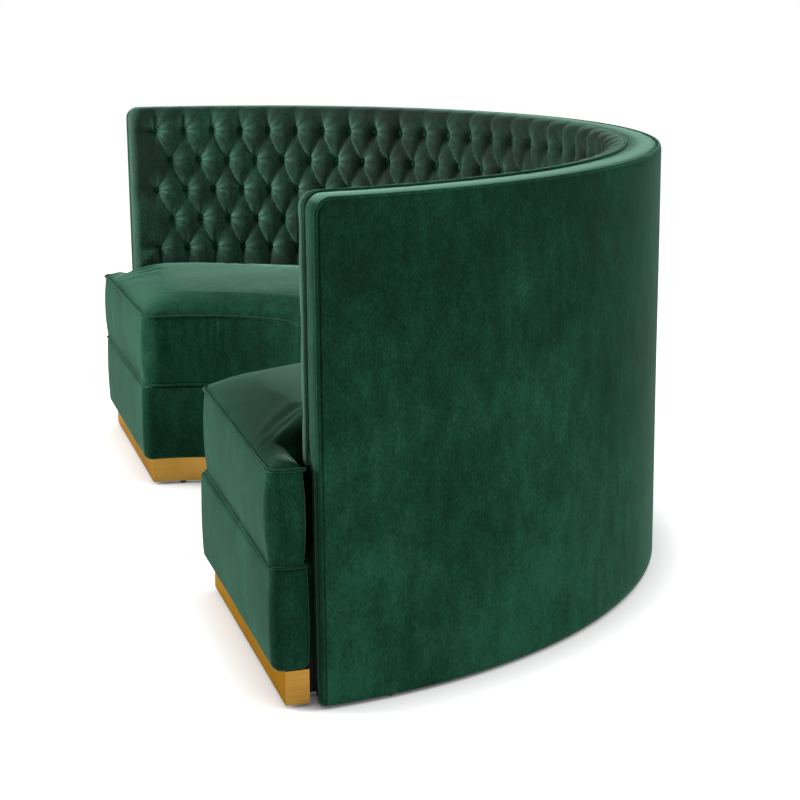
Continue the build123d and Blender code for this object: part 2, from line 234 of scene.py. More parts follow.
velvetLook = {
    "plain": (
        (0.0045, 0.0240, 0.0140),  # pile that leans away, stands up and leans over
        (0.0085, 0.0500, 0.0270),
        (0.0170, 0.0900, 0.0510),
    ),
    # the same velvet's tones made paler and greyer for the tufted cover: painted sheen
    "paintedTufts": (
        (0.0210, 0.0300, 0.0235),
        (0.0220, 0.0500, 0.0360),
        (0.0290, 0.1100, 0.0750),
    ),
    "leans": (0.40, 0.52, 0.63),
    "paleSheen": (0.1500, 0.3500, 0.2550),  # painted sheen: the pale colour laid round the buttons and along the band's top
    "roughness": 0.9,
    "specular": 0.04,
    "sheen": (0.42, 0.76, 0.61, 1),
    "sheenWeight": 0.60,
    "tuftSheenWeight": 0.39,
    "sheenRoughness": 0.28,
    "cloudScale": 3.2,
    "cloudShare": 0.34,
    "mottleScale": 26.0,
    "mottleShare": 0.28,
    "grainScale": 210.0,
    "grainShare": 0.38,
    "pileScale": 900.0,
    "pileShare": 0.35,
    "bump": (0.35, 0.0012),
    "shadeToBack": (-0.40, 1.2),  # where the painted shade towards the back starts, and its pace
    "tuftShadeShift": (0.035, 0.09),  # each at the front, and how much the painted shade towards the back takes from it
    "bandPaleSheen": (0.90, 0.65),
    "tuftPaleSheen": (0.90, 0.40),
    "seatTop": (0.484, 60.0),  # heights and paces of the seat's and the band's top
    "bandTop": (0.980, 80.0),
    "pleatShift": 0.53,
    "pleatSharpness": 32.0,
    "pleatHighlightStrength": 0.85,
}


def pleatHighlights(tree):
    # painted highlight: a pale line on the full side of every pleat that falls to the right, the side that
    # faces the light
    falling = times(tree, plus(tree, attributeNode(tree, "across"), attributeNode(tree, "down")), 0.5)
    share = mathNode(tree, "FRACT", plus(tree, falling, velvetLook["pleatShift"]), 0.0)
    away = mathNode(tree, "ABSOLUTE", minus(tree, share, 0.5), 0.0)
    line = minus(tree, 1.0, times(tree, away, velvetLook["pleatSharpness"]))
    return mathNode(tree, "MAXIMUM", line, 0.0)


def velvet(name, paintedTufts=False, topSheen=False, bounceShade=0.0, armShade=0.0):
    look = velvetLook
    material, tree, shader, place = newMaterial(name)
    cloud = noiseNode(tree, place, look["cloudScale"], 5.0)
    mottle = noiseNode(tree, stretched(tree, place, (1, 1, 0.55)), look["mottleScale"], 6.0, 0.65)
    grain = noiseNode(tree, stretched(tree, place, (1, 1, 0.6)), look["grainScale"], 3.0, 0.7)
    # the pile's own random tone, to which the painted shade below is added
    napAndShade = plus(tree, times(tree, cloud, look["cloudShare"]), times(tree, mottle, look["mottleShare"]))
    napAndShade = plus(tree, napAndShade, times(tree, grain, look["grainShare"]))
    axes = tree.nodes.new("ShaderNodeSeparateXYZ")
    tree.links.new(place, axes.inputs["Vector"])
    across, along, up = axes.outputs["X"], axes.outputs["Y"], axes.outputs["Z"]
    # painted shade: the tufts' tone, their pale patches and the band's pale top all grow darker towards the
    # back
    shadeToBack = risesFrom(tree, along, *look["shadeToBack"])

    def shadedToBack(setting):
        full, loss = look[setting]
        return minus(tree, full, times(tree, shadeToBack, loss))

    # painted shade for the wall: the velvet is darker towards the top and lighter towards the foot, standing
    # in for light bounced up from the floor
    napAndShade = plus(tree, napAndShade, times(tree, minus(tree, 0.5, up), bounceShade))
    if paintedTufts:
        napAndShade = plus(tree, napAndShade, shadedToBack("tuftShadeShift"))
    if armShade:  # painted shade: the seat's top is darker on the arm at +X and lighter on the arm at −X, standing in for the shade the wall casts on one arm
        onSeat = risesFrom(tree, up, *look["seatTop"])
        napAndShade = plus(tree, napAndShade, times(tree, onSeat, times(tree, across, armShade)))
    shade, body, bloom = zip(look["leans"], look["paintedTufts" if paintedTufts else "plain"])
    colour = rampNode(tree, napAndShade, [shade, bloom, body])
    if topSheen:  # painted sheen along the band's top, less of it towards the back
        onTop = times(tree, risesFrom(tree, up, *look["bandTop"]), shadedToBack("bandPaleSheen"))
        colour = overlay(tree, onTop, colour, look["paleSheen"])
    # painted sheen: pale patches by the buttons and pale lines along the pleats, less of both towards the
    # back
    if paintedTufts:
        drawn = times(tree, attributeNode(tree, "sheenPatch"), shadedToBack("tuftPaleSheen"))
        pleatGlints = times(tree, pleatHighlights(tree), times(tree, mottle, look["pleatHighlightStrength"]))
        paleSheen = limited(tree, mathNode(tree, "MAXIMUM", drawn, pleatGlints))
        colour = overlay(tree, paleSheen, colour, look["paleSheen"])
    surface(tree, shader, colour, look["roughness"])
    shader.inputs["Specular IOR Level"].default_value = look["specular"]
    shader.inputs["Sheen Weight"].default_value = look["tuftSheenWeight" if paintedTufts else "sheenWeight"]
    shader.inputs["Sheen Roughness"].default_value = look["sheenRoughness"]
    shader.inputs["Sheen Tint"].default_value = look["sheen"]
    pile = noiseNode(tree, place, look["pileScale"], 2.0)
    bumpNode(tree, shader, weighted(tree, pile, look["pileShare"], mottle), *look["bump"])
    return material


brassLook = {
    "dark": (0.21, 0.105, 0.016),
    "light": (0.38, 0.215, 0.045),
    "edgeTint": (0.78, 0.55, 0.24, 1),
    "smooth": (0.26, 0.26, 0.26),  # roughness along and across the brushing
    "rough": (0.42, 0.42, 0.42),
}


def brushedBrass(name):
    material, tree, shader, place = newMaterial(name)
    grain = noiseNode(tree, stretched(tree, place, (5, 5, 900)), 1.0, 5.0, 0.7)
    tone = weighted(tree, grain, 0.55, noiseNode(tree, place, 6.0, 3.0))
    colour = rampNode(tree, tone, [(0.30, brassLook["dark"]), (0.70, brassLook["light"])])
    tree.links.new(colour, shader.inputs["Base Color"])
    rough = rampNode(tree, grain, [(0.25, brassLook["smooth"]), (0.75, brassLook["rough"])])
    tree.links.new(rough, shader.inputs["Roughness"])
    shader.inputs["Metallic"].default_value = 1.0
    shader.inputs["Specular Tint"].default_value = brassLook["edgeTint"]
    bumpNode(tree, shader, grain, 0.12, 0.0004)
    return material


def plywood(name, dark, light):
    material, tree, shader, place = newMaterial(name)
    plies = noiseNode(tree, stretched(tree, place, (3, 3, 260)), 1.0, 3.0)
    grain = noiseNode(tree, stretched(tree, place, (40, 40, 4)), 1.0, 6.0, 0.7)
    tone = weighted(tree, plies, 0.6, grain)
    surface(tree, shader, rampNode(tree, tone, [(0.3, dark), (0.7, light)]), 0.7)
    bumpNode(tree, shader, grain, 0.2, 0.0006)
    return material


def wovenCloth(name, dark, light, threads):
    material, tree, shader, place = newMaterial(name)
    weave = tree.nodes.new("ShaderNodeTexChecker")
    weave.inputs["Scale"].default_value = threads
    tree.links.new(place, weave.inputs["Vector"])
    tone = weighted(tree, weave.outputs["Fac"], 0.35, noiseNode(tree, place, 60.0, 5.0))
    surface(tree, shader, rampNode(tree, tone, [(0.25, dark), (0.85, light)]), 0.95)
    bumpNode(tree, shader, weave.outputs["Fac"], 0.3, 0.0005)
    return material


def speckled(name, scale, detail, stops, roughness, bump):
    # one even grain over the whole piece
    material, tree, shader, place = newMaterial(name)
    grain = noiseNode(tree, place, scale, detail)
    surface(tree, shader, rampNode(tree, grain, stops), roughness)
    bumpNode(tree, shader, grain, *bump)
    return material


foamTones = [(0.3, (0.52, 0.46, 0.30)), (0.7, (0.80, 0.74, 0.55))]
glideTones = [(0.35, (0.010, 0.010, 0.010)), (0.75, (0.045, 0.045, 0.045))]
# the wall's velvet carries painted shade, darker towards the top
wallVelvet = velvet("wallVelvet", bounceShade=0.16)
tuftVelvet = velvet("tuftVelvet", paintedTufts=True)
bandVelvet = velvet("bandVelvet", topSheen=True)
# the seat's velvet carries painted shade across its top, darker on the +X arm
seatVelvet = velvet("seatVelvet", armShade=-0.14)
cordVelvet = velvet("cordVelvet")
brass = brushedBrass("brushedBrass")
ply = plywood("birchPly", (0.34, 0.20, 0.095), (0.66, 0.47, 0.27))
blackPly = plywood("blackPly", (0.004, 0.004, 0.004), (0.014, 0.013, 0.012))
platformCloth = wovenCloth("platformCloth", (0.006, 0.007, 0.007), (0.030, 0.033, 0.032), 700.0)
foam = speckled("seatFoam", 420.0, 3.0, foamTones, 0.95, (0.4, 0.001))
glide = speckled("glidePlastic", 130.0, 5.0, glideTones, 0.55, (0.1, 0.0004))
print("materials ready")

slotLooks = {
    "brass": brass,
    "plywood": ply,
    "platform_cloth": platformCloth,
    "foam": foam,
    "glide_plastic": glide,
    "velvet": wallVelvet,
}
for entry in frame["record"]["subparts"]:
    node = frame["nodes"][entry["node"]]
    node.data.materials.clear()
    node.data.materials.append(slotLooks[entry["material_slot"]])
frame["nodes"]["plinth_ring"].data.materials[0] = blackPly  # near-black, where it shows beside the brass


# Lines that pieces follow

def backEdge(radiusAt, endY, corner, foot, top, spacing=0.012, topPoints=300):
    # a line up one end of the back, over the rounded corner, along the top and down the other end,
    # with the way that the surface faces there
    upright = np.arange(foot, top - corner, spacing)
    bend = np.linspace(0, rightAngle, 12)
    endYs = np.concatenate([np.full(len(upright), endY), endY + corner * (1 - np.cos(bend))])
    endZs = np.concatenate([upright, top - corner + corner * np.sin(bend)])
    leans = np.concatenate([np.zeros(len(upright)), bend])
    radii = radiusAt(endZs)
    rightEnd = np.stack([np.sqrt(radii**2 - endYs**2), centreY + endYs, endZs], -1)
    rightFaces = np.stack([np.zeros_like(leans), -np.cos(leans), np.sin(leans)], -1)
    topRadius = float(radiusAt(np.array([top]))[0])
    start = math.asin((endY + corner) / topRadius)
    turns = np.linspace(start, math.pi - start, topPoints)[1:-1]
    topLine = gridPoints(np.full(len(turns), topRadius), turns, top)
    topFaces = np.tile([0.0, 0.0, 1.0], (len(turns), 1))
    mirror = np.array([-1.0, 1.0, 1.0])
    line = np.concatenate([rightEnd, topLine, rightEnd[::-1] * mirror])
    faces = np.concatenate([rightFaces, topFaces, rightFaces[::-1] * mirror])
    return line, faces


def seatEdge(look, inset=0.0, backInset=0.0, height=0.0, spacing=0.010):
    # a line round the seat's shown edge, from the back of one spread end to the other, with its outward way
    front, end = look["front"] + inset, look["end"] + inset
    side, back = look["side"] - inset, look["back"] - backInset
    corner, innerCorner = look["corner"] - inset, look["innerCorner"] - inset
    middleY = end + look["slant"] + innerCorner
    middleX = math.sqrt((front + innerCorner) ** 2 - middleY**2)
    meet = math.atan2(middleY, middleX)
    line = []
    facing = []

    def straight(start, finish, way):
        count = max(2, int(math.dist(start, finish) / spacing))
        runX, runY = finish[0] - start[0], finish[1] - start[1]
        for share in np.linspace(0, 1, count, endpoint=False):
            line.append((start[0] + runX * share, start[1] + runY * share))
            facing.append(way)

    def arc(centre, radius, first, last, sign):
        count = max(6, int(abs(last - first) * radius / spacing))
        for turn in np.linspace(first, last, count, endpoint=False):
            line.append((centre[0] + radius * math.cos(turn), centre[1] + radius * math.sin(turn)))
            facing.append((sign * math.cos(turn), sign * math.sin(turn)))

    turned = 0.0
    wrap = look.get("wrap")
    if wrap:  # carry the line on round the back of the spread end
        turned = look["wrapCorner"]
        arc((0, 0), wrap, math.asin(look["wrapStart"] / wrap), math.asin(back / wrap), 1)
        straight((math.sqrt(wrap**2 - back**2), back), (side - turned, back), (0, 1))
        arc((side - turned, back - turned), turned, rightAngle, 0, 1)
    straight((side, back - turned), (side, end + corner), (1, 0))
    arc((side - corner, end + corner), corner, 0, -rightAngle, 1)
    straight((side - corner, end), (middleX, end + look["slant"]), (0, -1))
    arc((middleX, middleY), innerCorner, 3 * rightAngle, math.pi + meet, 1)
    arc((0, 0), front, meet, rightAngle, -1)
    half = np.array(line)
    way = np.array(facing)
    mirror = np.array([-1.0, 1.0])
    plan = np.concatenate([half, [[0, front]], half[::-1] * mirror])
    ways = np.concatenate([way, [[0, -1]], way[::-1] * mirror])
    points = np.column_stack([plan[:, 0], plan[:, 1] + centreY, np.full(len(plan), height)])
    return points, np.column_stack([ways, np.zeros(len(ways))])


# Piping: a covered cord along any of those lines

pipingLook = {
    "radius": 0.0040,
    "sides": 10,
    "unevenness": 0.16,  # how much the cord thickens and thins under its bias strip
    "unevenScale": 55.0,
}


def newTree(name, sizes):
    # a tree that takes a shape, its sizes and a cover
    tree = bpy.data.node_groups.new(name, "GeometryNodeTree")
    for socket, kind in {"Geometry": "Geometry", **sizes, "Cover": "Material"}.items():
        tree.interface.new_socket(socket, in_out="INPUT", socket_type="NodeSocket" + kind)
    tree.interface.new_socket("Geometry", in_out="OUTPUT", socket_type="NodeSocketGeometry")
    return tree, tree.nodes.new("NodeGroupInput").outputs


def finishTree(tree, source, made):
    # one smooth mesh in its cover
    for kind in ("RealizeInstances", "SetShadeSmooth", "SetMaterial"):
        node = tree.nodes.new("GeometryNode" + kind)
        tree.links.new(made, node.inputs["Geometry"])
        made = node.outputs["Geometry"]
    tree.links.new(source["Cover"], node.inputs["Material"])
    tree.links.new(made, tree.nodes.new("NodeGroupOutput").inputs["Geometry"])
    return tree


def pipingTree():
    sizes = {"Radius": "Float", "Sides": "Int", "Unevenness": "Float", "Uneven Scale": "Float"}
    tree, source = newTree("pipingAlongLine", sizes)
    add, link = tree.nodes.new, tree.links.new
    curve = add("GeometryNodeMeshToCurve")
    noise = add("ShaderNodeTexNoise")
    girth = add("GeometryNodeSetCurveRadius")
    profile = add("GeometryNodeCurvePrimitiveCircle")
    tube = add("GeometryNodeCurveToMesh")
    tube.inputs["Fill Caps"].default_value = True
    link(source["Geometry"], curve.inputs["Mesh"])
    link(add("GeometryNodeInputPosition").outputs["Position"], noise.inputs["Vector"])
    link(source["Uneven Scale"], noise.inputs["Scale"])
    swell = times(tree, minus(tree, noise.outputs["Fac"], 0.5), source["Unevenness"])
    link(curve.outputs["Curve"], girth.inputs["Curve"])
    link(plus(tree, swell, 1.0), girth.inputs["Radius"])
    link(source["Sides"], profile.inputs["Resolution"])
    link(source["Radius"], profile.inputs["Radius"])
    link(girth.outputs["Curve"], tube.inputs["Curve"])
    link(profile.outputs["Curve"], tube.inputs["Profile Curve"])
    if "Scale" in tube.inputs:
        link(add("GeometryNodeInputRadius").outputs["Radius"], tube.inputs["Scale"])
    return finishTree(tree, source, tube.outputs["Mesh"])


def runTree(piece, tree, values):
    modifier = piece.modifiers.new(tree.name, "NODES")
    modifier.node_group = tree
    for item in tree.interface.items_tree:
        if item.in_out == "INPUT" and item.name in values:
            modifier[item.identifier] = values[item.name]
    return settle(piece)


cordTree = pipingTree()


def piping(name, line, radius=pipingLook["radius"]):
    mesh = bpy.data.meshes.new(name)
    mesh.from_pydata([tuple(p) for p in line], [(i, i + 1) for i in range(len(line) - 1)], [])
    sizes = {
        "Radius": radius,
        "Sides": pipingLook["sides"],
        "Unevenness": pipingLook["unevenness"],
        "Uneven Scale": pipingLook["unevenScale"],
        "Cover": cordVelvet,
    }
    return runTree(addObject(name, mesh), cordTree, sizes)


# Outer cover of the back

wallLook = {
    "thickness": 0.008,
    "end": 0.076,
    "endCorner": 0.025,
    "underTop": 0.0110,  # how far under the band's top it stops
    "columns": 300,
    "closing": 1.35,  # draws the columns together towards the two ends
    "rows": 26,
    "wave": 0.0006,  # stretched cloth is never quite even
    "waveScale": 7.0,
    "rolledEdge": 0.004,
}


def outerWall():
    outer = booth["wallRadius"]
    inner = outer - wallLook["thickness"]
    bottom = booth["glide"]
    top = booth["height"] - wallLook["underTop"]
    roll = wallLook["rolledEdge"]
    corner = wallLook["endCorner"]
    even = np.linspace(-1, 1, wallLook["columns"])
    share = 0.5 + 0.5 * np.sign(even) * (1 - (1 - np.abs(even)) ** wallLook["closing"])
    section = [(inner + roll, 0.0), (outer - roll, 0.0)]
    section += [(outer, high) for high in (roll, *np.linspace(0.02, 0.98, wallLook["rows"]), 1 - roll)]
    section += [(outer - roll, 1.0), (inner + roll, 1.0), (inner, 1 - roll), (inner, roll)]
    rings = []
    for radius, high in section:  # heights as shares of the whole
        start = math.asin(wallLook["end"] / radius)
        turn = start + (math.pi - 2 * start) * share
        fromEnd = radius * np.sin(turn) - wallLook["end"]
        short = np.clip(corner - fromEnd, 0, corner)
        lowered = top - (corner - np.sqrt(np.maximum(corner**2 - short**2, 0)))
        z = bottom + (lowered - bottom) * high
        shown = wallLook["wave"] if radius == outer else 0.0
        rings.append(gridPoints(radius + shown * ripple(turn * outer, z, wallLook["waveScale"], 11), turn, z))
    return sweptPiece("outerWallCover", rings, wallVelvet)


wallCover = outerWall()
print("outer wall cover", len(wallCover.data.polygons))


# Border band over the top and down both ends

bandLook = {
    "outer": 1.1785,
    "inner": 1.1045,
    "lowerInner": 1.1375,
    "slantHigh": 0.505,  # the inner edge slants out to the narrow foot between these heights
    "slantLow": 0.455,
    "top": 0.9920,
    "end": 0.0695,
    "corner": 0.0310,
    "crown": 0.0040,
    "tuck": 0.0025,
    "thickness": 0.009,
    "across": 13,
    "pucker": 0.0007,
    "puckerScale": 45.0,
}


def slantedRadius(lower, upper):
    low, high = bandLook["slantLow"], bandLook["slantHigh"]
    return lambda z: lower + (upper - lower) * smoothStep(low, high, z)


def evenRadius(radius):
    return lambda z: np.full(np.shape(z), radius)


def borderBand():
    place = (bandLook["end"], bandLook["corner"], booth["glide"], bandLook["top"])
    innerLine, facing = backEdge(slantedRadius(bandLook["lowerInner"], bandLook["inner"]), *place)
    outerLine, _ = backEdge(evenRadius(bandLook["outer"]), *place)
    width = outerLine - innerLine
    along = np.arange(len(innerLine)) * 0.012
    columns = []
    for share in np.linspace(0, 1, bandLook["across"]):
        edge = abs(2 * share - 1)
        lift = bandLook["crown"] * (1 - edge**2.4) - bandLook["tuck"] * smoothStep(0.80, 1.0, edge)
        wave = ripple(along, np.full(len(along), share * 0.05), bandLook["puckerScale"], 5)
        lift = lift + bandLook["pucker"] * wave * edge
        columns.append(innerLine + width * share + facing * lift[:, None])
    for share in (1.0, 0.0):
        columns.append(innerLine + width * share - facing * bandLook["thickness"])
    return sweptPiece("borderBand", columns, bandVelvet)


band = borderBand()
print("border band", len(band.data.polygons))

backCords = {
    "outerRadius": 1.1800,
    "innerRadius": 1.1030,
    "lowerInnerRadius": 1.1340,
    "outerTop": 0.9905,
    "innerTop": 0.9945,
    "end": 0.0705,
    "corner": 0.0310,
    "foot": 0.012,
}
cordPlace = (backCords["end"], backCords["corner"], backCords["foot"])
outerEdge = evenRadius(backCords["outerRadius"])
innerEdge = slantedRadius(backCords["lowerInnerRadius"], backCords["innerRadius"])
outerPiping = piping("outerPiping", backEdge(outerEdge, *cordPlace, backCords["outerTop"])[0])
innerPiping = piping("innerPiping", backEdge(innerEdge, *cordPlace, backCords["innerTop"])[0])
print("back piping", len(outerPiping.data.polygons), len(innerPiping.data.polygons))


# Deep-buttoned inner face

tuftLook = {
    "columns": 37,  # buttons in the first, third and fifth rows
    "rows": 5,
    "firstAngle": math.radians(7.2),
    "topRow": 0.9285,
    "rowPitch": 0.0895,
    "back": 1.1056,
    "floor": 1.0800,  # radius of the cover under a button
    "puff": 0.0255,
    "pleatLift": 0.50,  # how far a pleat rises between two buttons
    "dimple": 0.0075,  # how much deeper each button is drawn
    "dimpleReach": 0.017,
    "top": 0.9975,
    "bottom": 0.470,
    "end": 0.0600,
    "corner": 0.032,
    "topRoll": (0.026, 0.25),  # reach of each roll, and the share of the thickness that is left at the edge
    "endRoll": (0.022, 0.25),
    "bottomRoll": (0.030, 0.45),
    "stepsAcross": 10,  # columns of points in half a pitch
    "stepsDown": 18,
    "closing": 0.075,  # draws the points together at the buttons
    "fallingSides": (6.5, 1.8),  # fullness of a tuft over a pleat and under it
    "risingSides": (3.6, 2.0),
    "gather": 0.0019,
    "gatherReach": 0.019,
    "gatherStart": (0.004, 0.013),
    "foldCounts": (8, 12),  # folds round a button
    "foldShow": 0.38,  # how much they break up the painted sheen patch
    "patchStrength": (0.55, 1.25),  # how strongly each button's painted sheen patch shows
    "sheenPatchReach": 0.034,
    "sheenPatchSide": math.radians(215),
    "endRollSheen": 0.25,
    "slack": 0.0009,
}
halfPitch = (math.pi - 2 * tuftLook["firstAngle"]) / (2 * (tuftLook["columns"] - 1))


def nearButtons(steps, count):
    # even steps drawn closer at each whole number, where the buttons and pleats are
    share = np.arange(steps * count + 1) / steps
    return share - tuftLook["closing"] * np.sin(2 * math.pi * share)


def sideRise(offset, full, flat):
    # rise of a tuft away from a pleat: the tuft above hangs full over it, the one below starts flat
    share = np.clip(np.abs(offset) * 2, 0, 1)
    return np.where(offset < 0, 1 - (1 - share) ** full, 1 - (1 - share) ** flat)


def tuftHeight(across, down):
    # share of the full puff at a place counted in half pitches and rows from the first button
    lastColumn = 2 * (tuftLook["columns"] - 1)
    lastRow = tuftLook["rows"] - 1
    outAcross = np.maximum(-across, 0) + np.maximum(across - lastColumn, 0)
    outDown = np.maximum(-down, 0) + np.maximum(down - lastRow, 0)
    insideAcross = np.clip(across, 0, lastColumn)
    insideDown = np.clip(down, 0, lastRow)
    falling = (insideAcross + insideDown) / 2
    rising = (insideAcross - insideDown) / 2
    fallOffset = falling - np.round(falling)
    riseOffset = rising - np.round(rising)
    corner = (outAcross > 0) & (outDown > 0)
    swing = np.arctan2(outDown, np.maximum(outAcross * 0.48, 1e-9)) / rightAngle
    cornerOffset = 0.5 * (1 - 2 * np.abs(swing - 0.5))
    fallOffset = np.where(corner, cornerOffset, fallOffset)
    riseOffset = np.where(corner, cornerOffset, riseOffset)
    pillow = sideRise(fallOffset, *tuftLook["fallingSides"])
    pillow = pillow * sideRise(-riseOffset, *tuftLook["risingSides"])
    nearest = np.maximum(np.abs(fallOffset), np.abs(riseOffset))
    away = np.clip(2 * nearest + 1.5 * outDown + 0.75 * outAcross, 0, 1)
    lift = tuftLook["pleatLift"] * (1 - (1 - away) ** 2.4)
    return lift + (1 - lift) * pillow**0.85


def buttonPlaces():
    places = []
    for row in range(tuftLook["rows"]):
        stagger = row % 2
        for column in range(tuftLook["columns"] - stagger):
            places.append((2 * column + stagger, row))
    return np.array(places, float)


def gathers(across, down):
    # the dimple and the short folds round each button, and the painted sheen patch beside it
    folds = np.zeros_like(across)
    sheenPatch = np.zeros_like(across)
    draw = np.random.default_rng(23)
    pitch = halfPitch * tuftLook["floor"]
    for column, row in buttonPlaces():
        count = int(draw.integers(*tuftLook["foldCounts"]))
        phase = draw.uniform(0, 2 * math.pi)
        patchStrength = draw.uniform(*tuftLook["patchStrength"])
        near = (np.abs(across - column) < 1.3) & (np.abs(down - row) < 0.75)
        x = (across[near] - column) * pitch
        y = (down[near] - row) * tuftLook["rowPitch"]
        distance = np.hypot(x, y)
        turn = np.arctan2(y, x)
        fade = np.exp(-distance / tuftLook["gatherReach"]) * smoothStep(*tuftLook["gatherStart"], distance)
        wave = np.cos(count * turn + phase + 0.6 * np.sin(2 * turn + phase))
        folds[near] += tuftLook["gather"] * wave * fade
        folds[near] -= tuftLook["dimple"] * np.exp(-((distance / tuftLook["dimpleReach"]) ** 2))
        towardLight = 0.5 + 0.5 * np.cos(turn - tuftLook["sheenPatchSide"])  # painted highlight, strongest on the side of each button that faces the light
        drawn = np.exp(-((distance / tuftLook["sheenPatchReach"]) ** 2)) * towardLight**1.5
        sheenPatch[near] += patchStrength * drawn * (1 - tuftLook["foldShow"] * (1 - wave))
    return folds, sheenPatch


def buttonedBack():
    lastColumn = 2 * (tuftLook["columns"] - 1)
    lastRow = tuftLook["rows"] - 1
    endTurn = math.asin(tuftLook["end"] / (tuftLook["floor"] - 0.01))
    margin = (tuftLook["firstAngle"] - endTurn) / halfPitch
    endSteps = -margin * (1 - np.linspace(0, 1, 20)[:-1] ** 1.2)
    middleSteps = nearButtons(tuftLook["stepsAcross"], lastColumn)
    across = np.concatenate([endSteps, middleSteps, lastColumn - endSteps[::-1]])
    above = (tuftLook["top"] - tuftLook["topRow"]) / tuftLook["rowPitch"]
    bottomRow = tuftLook["topRow"] - lastRow * tuftLook["rowPitch"]
    below = (bottomRow - tuftLook["bottom"]) / tuftLook["rowPitch"]
    topSteps = -above * (1 - np.linspace(0, 1, 17)[:-1])
    lowSteps = lastRow + below * np.linspace(0, 1, 19)[1:]
    down = np.concatenate([topSteps, nearButtons(tuftLook["stepsDown"], lastRow), lowSteps])
    a, b = np.meshgrid(across, down)
    turn = tuftLook["firstAngle"] + a * halfPitch
    z = tuftLook["topRow"] - b * tuftLook["rowPitch"]
    rise = tuftLook["puff"] * tuftHeight(a, b)
    folds, sheenPatch = gathers(a, b)
    rise = rise + folds + tuftLook["slack"] * ripple(a * 0.05, z, 60.0, 3)
    thick = tuftLook["back"] - tuftLook["floor"] + rise
    # the two top corners are round: what lies outside them is drawn in on to the curve
    corner = tuftLook["corner"]
    arm = tuftLook["floor"]
    fromEnd = (margin - np.maximum(-a, a - lastColumn)) * halfPitch * arm
    fromTop = tuftLook["top"] - z
    outX = np.maximum(corner - fromEnd, 0)
    outZ = np.maximum(corner - fromTop, 0)
    reach = np.hypot(outX, outZ)
    inward = np.where(reach > corner, corner / np.maximum(reach, 1e-9), 1.0)
    shift = outX * (1 - inward)
    turn = turn + np.where(a < lastColumn / 2, 1, -1) * shift / arm
    z = z - outZ * (1 - inward)
    inCorner = (outX > 0) & (outZ > 0)
    cornerRoom = corner - np.minimum(reach, corner)
    fromEnd = np.where(inCorner, cornerRoom, fromEnd)
    fromTop = np.where(inCorner, cornerRoom, fromTop)
    envelope = np.ones_like(thick)
    rooms = {"topRoll": fromTop, "endRoll": fromEnd, "bottomRoll": z - tuftLook["bottom"]}
    for edge, room in rooms.items():
        roll, least = tuftLook[edge]
        share = np.clip(room / roll, 0, 1)
        envelope = np.minimum(envelope, least + (1 - least) * np.sqrt(np.maximum(1 - (1 - share) ** 2, 0)))
    grid = gridPoints(tuftLook["back"] - thick * envelope, turn, z)
    rows, columns = a.shape
    index = np.arange(rows * columns).reshape(rows, columns)
    faces = gridFaces(index[:, :-1], index[:, 1:])
    rim = np.concatenate([index[0, :], index[1:, -1], index[-1, -2::-1], index[-2:0:-1, 0]])
    behind = gridPoints(np.full((rows, columns), tuftLook["back"]), turn, z).reshape(-1, 3)[rim]
    rimIndex = rows * columns + np.arange(len(rim))
    for spot in range(len(rim)):
        following = (spot + 1) % len(rim)
        faces.append((rim[spot], rim[following], rimIndex[following], rimIndex[spot]))
    topRim = rimIndex[:columns]
    lowRim = rimIndex[columns + rows - 2 : 2 * columns + rows - 2][::-1]
    farSide = rimIndex[columns - 1 : columns + rows - 1]
    nearSide = np.concatenate([rimIndex[2 * columns + rows - 3 :], rimIndex[:1]])
    for column in range(1, columns - 2):
        faces.append((topRim[column], lowRim[column], lowRim[column + 1], topRim[column + 1]))
    faces.append((*nearSide, topRim[1], lowRim[1]))
    faces.append((*farSide, lowRim[-2], topRim[-2]))
    points = np.concatenate([grid.reshape(-1, 3), behind])
    piece = placeMesh("buttonedBack", points, faces, tuftVelvet)
    inside = (a >= 0) & (a <= lastColumn) & (b >= 0) & (b <= lastRow)
    # painted highlight along the tufts' end roll
    sheenPatch = np.maximum(sheenPatch, tuftLook["endRollSheen"] * np.exp(-fromEnd / 0.010))
    marks = {
        "sheenPatch": (sheenPatch, tuftLook["endRollSheen"]),  # on the face, and round the rim
        "across": (np.where(inside, a, 0.5), 0.5),
        "down": (np.where(inside, b, 0.5), 0.5),
    }
    for name, (values, rimValue) in marks.items():
        mark = piece.data.attributes.new(name, "FLOAT", "POINT")
        mark.data.foreach_set("value", np.concatenate([values.ravel(), np.full(len(rim), rimValue)]))
    faceOutwards(piece)
    return piece


tufts = buttonedBack()
print("buttoned back", len(tufts.data.polygons))

buttonLook = {
    "radius": 0.0112,
    "thickness": 0.0075,
    "segments": 14,
    "rings": 7,
    "rise": -0.0010,  # how far its middle stands over the cover's floor
}


def buttonTree():
    sizes = {"Radius": "Float", "Flatness": "Float", "Segments": "Int", "Rings": "Int"}
    tree, source = newTree("coveredButtons", sizes)
    add, link = tree.nodes.new, tree.links.new
    dome = add("GeometryNodeMeshUVSphere")
    squeeze = add("ShaderNodeCombineXYZ")
    squeeze.inputs["X"].default_value = 1.0
    squeeze.inputs["Y"].default_value = 1.0
    flatten = add("GeometryNodeTransform")
    facing = add("GeometryNodeInputNamedAttribute")
    facing.data_type = "FLOAT_VECTOR"
    facing.inputs["Name"].default_value = "facing"
    turn = add("FunctionNodeAlignRotationToVector")
    turn.axis = "Z"
    copies = add("GeometryNodeInstanceOnPoints")
    for size in ("Radius", "Segments", "Rings"):
        link(source[size], dome.inputs[size])
    link(source["Flatness"], squeeze.inputs["Z"])
    link(dome.outputs["Mesh"], flatten.inputs["Geometry"])
    link(squeeze.outputs["Vector"], flatten.inputs["Scale"])
    link(facing.outputs["Attribute"], turn.inputs["Vector"])
    link(source["Geometry"], copies.inputs["Points"])
    link(flatten.outputs["Geometry"], copies.inputs["Instance"])
    link(turn.outputs["Rotation"], copies.inputs["Rotation"])
    return finishTree(tree, source, copies.outputs["Instances"])


